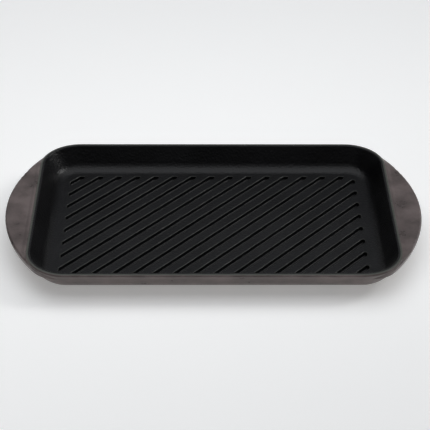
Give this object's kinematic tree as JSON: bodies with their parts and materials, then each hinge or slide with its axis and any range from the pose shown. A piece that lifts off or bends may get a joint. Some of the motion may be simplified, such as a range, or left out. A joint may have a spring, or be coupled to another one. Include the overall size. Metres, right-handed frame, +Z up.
{
  "type": "cast iron grill pan",
  "caption": "Shallow rectangular cast iron grill pan with slanting grooves, rounded corners, leaning walls and a crescent tab handle at each short end, under glassy enamel.",
  "frame": {"origin": "middle of the flat underside", "axes": "+X along the pan to the right-hand handle, +Y to the back, +Z up out of the mouth"},
  "size_m": [0.4048, 0.23, 0.0285],
  "materials": {
    "grey_iron": "as cast",
    "ground_enamel": "glossy, hidden under the cover coats",
    "black_enamel": "satin black",
    "taupe_enamel": "satin to glossy dark taupe",
    "underside_enamel": "satin black"
  },
  "bodies": {
    "root": {"iron_casting": "grey_iron", "ground_coat": "ground_enamel", "cooking_enamel": "black_enamel", "exterior_enamel": "taupe_enamel", "base_enamel": "underside_enamel"}
  },
  "joints": []
}
